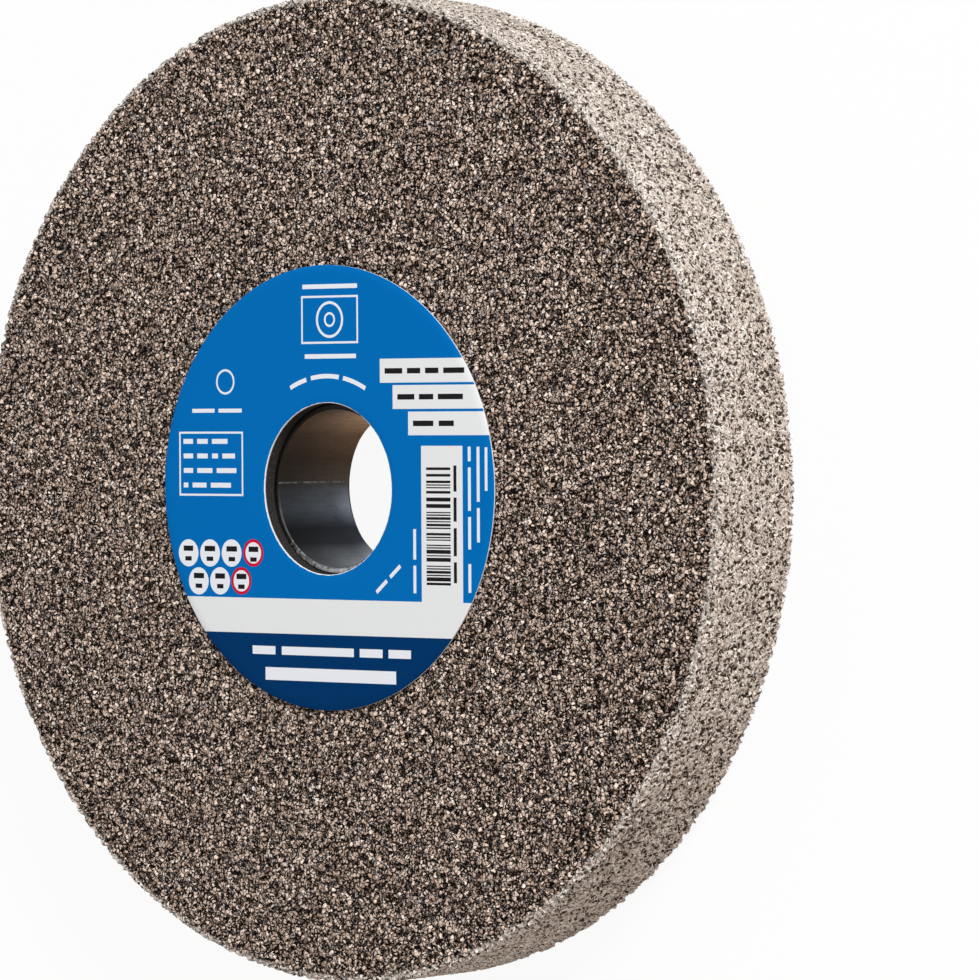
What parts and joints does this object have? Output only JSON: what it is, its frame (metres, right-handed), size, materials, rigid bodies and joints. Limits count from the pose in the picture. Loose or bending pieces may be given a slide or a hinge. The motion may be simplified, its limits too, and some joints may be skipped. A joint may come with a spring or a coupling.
{
  "type": "bench grinding wheel",
  "caption": "Straight vitrified abrasive wheel with a rolled steel bush in its bore and a round paper label, clamped on a bench grinder's spindle to grind metal by its rim.",
  "frame": {"origin": "on the bore axis, in the plane of the back washer's outer side, which the wheel rests on", "axes": "+Z along the bore axis, out of the labelled side; +X to the right across the label as it is read; +Y up the label"},
  "size_m": [0.2, 0.2, 0.0258],
  "materials": {
    "abrasive": "matte",
    "bush_steel": "satin",
    "label_paper": "satin",
    "washer_paper": "matte"
  },
  "bodies": {
    "root": {"abrasive_wheel": "abrasive", "bore_bush": "bush_steel", "front_label": "label_paper", "back_washer": "washer_paper"}
  },
  "joints": []
}
